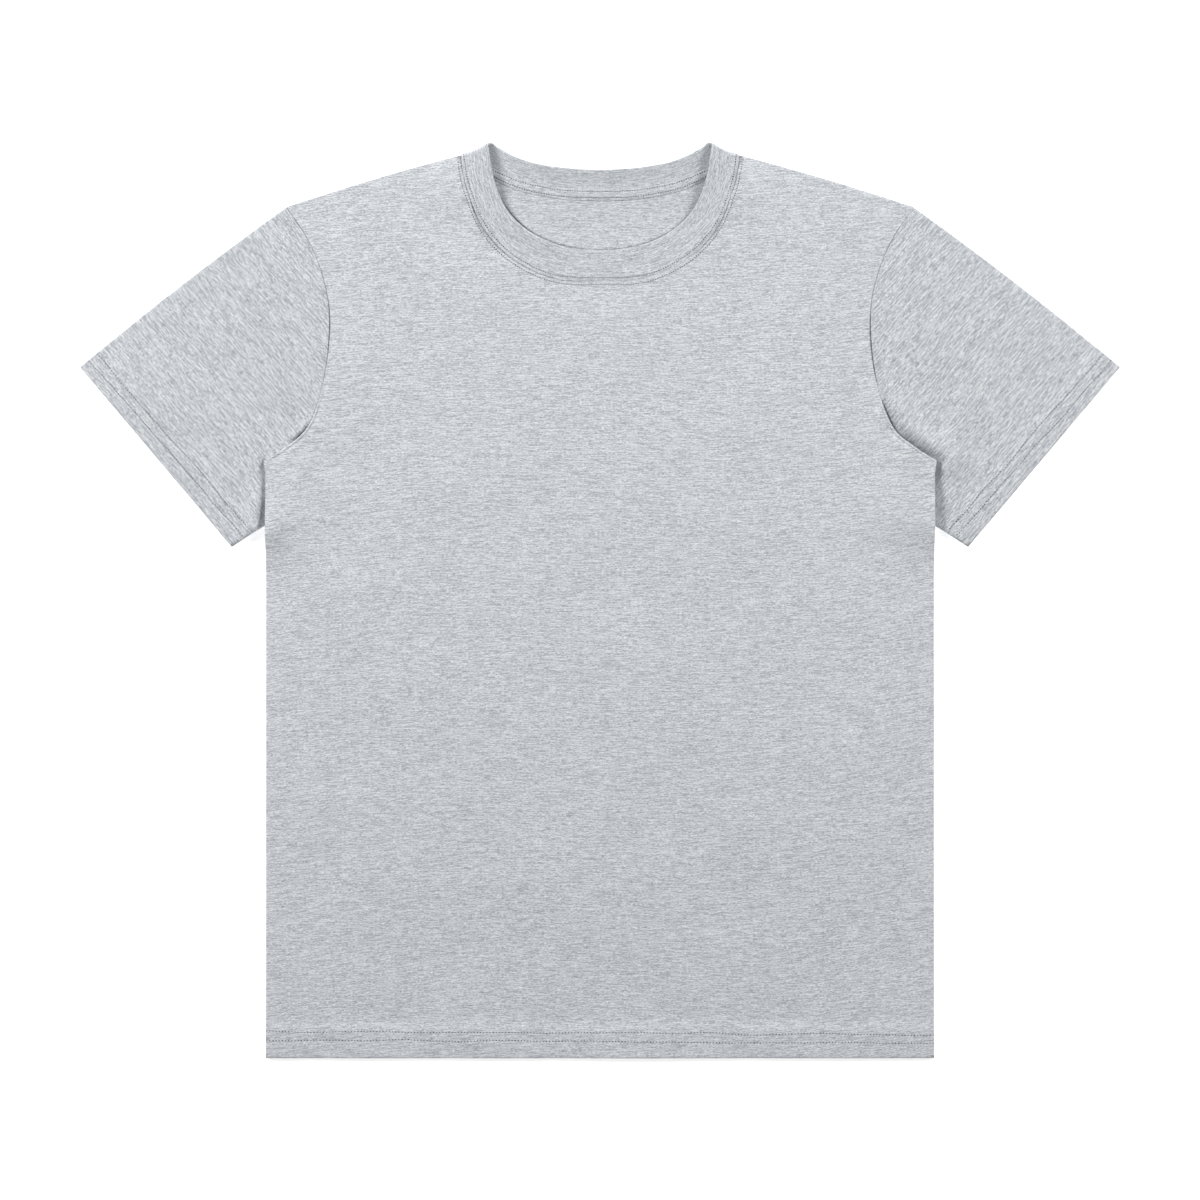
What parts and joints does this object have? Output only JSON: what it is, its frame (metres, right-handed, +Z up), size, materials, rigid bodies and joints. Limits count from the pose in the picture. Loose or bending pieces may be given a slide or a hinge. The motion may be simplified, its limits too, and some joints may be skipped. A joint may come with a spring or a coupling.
{
  "type": "crew neck t-shirt laid flat",
  "caption": "Short-sleeved crew neck t-shirt of heather jersey, lying flat face up with its sleeves spread and its neckband open.",
  "frame": {"origin": "middle of the shirt's outline, on the surface it lies on", "axes": "+X from the wearer's right sleeve to the left one, +Y from the hem to the neck, +Z up out of the front"},
  "size_m": [0.7952, 0.7003, 0.0113],
  "materials": {
    "jersey": "pale grey heather single jersey, matt, with short streaks along the courses",
    "rib": "pale grey heather fine rib, matt",
    "tape": "pale grey self-fabric tape, matt"
  },
  "bodies": {
    "root": {"front": "jersey", "back": "jersey", "sleeve_right": "jersey", "sleeve_left": "jersey", "collar": "rib", "neck_tape": "tape"}
  },
  "joints": []
}
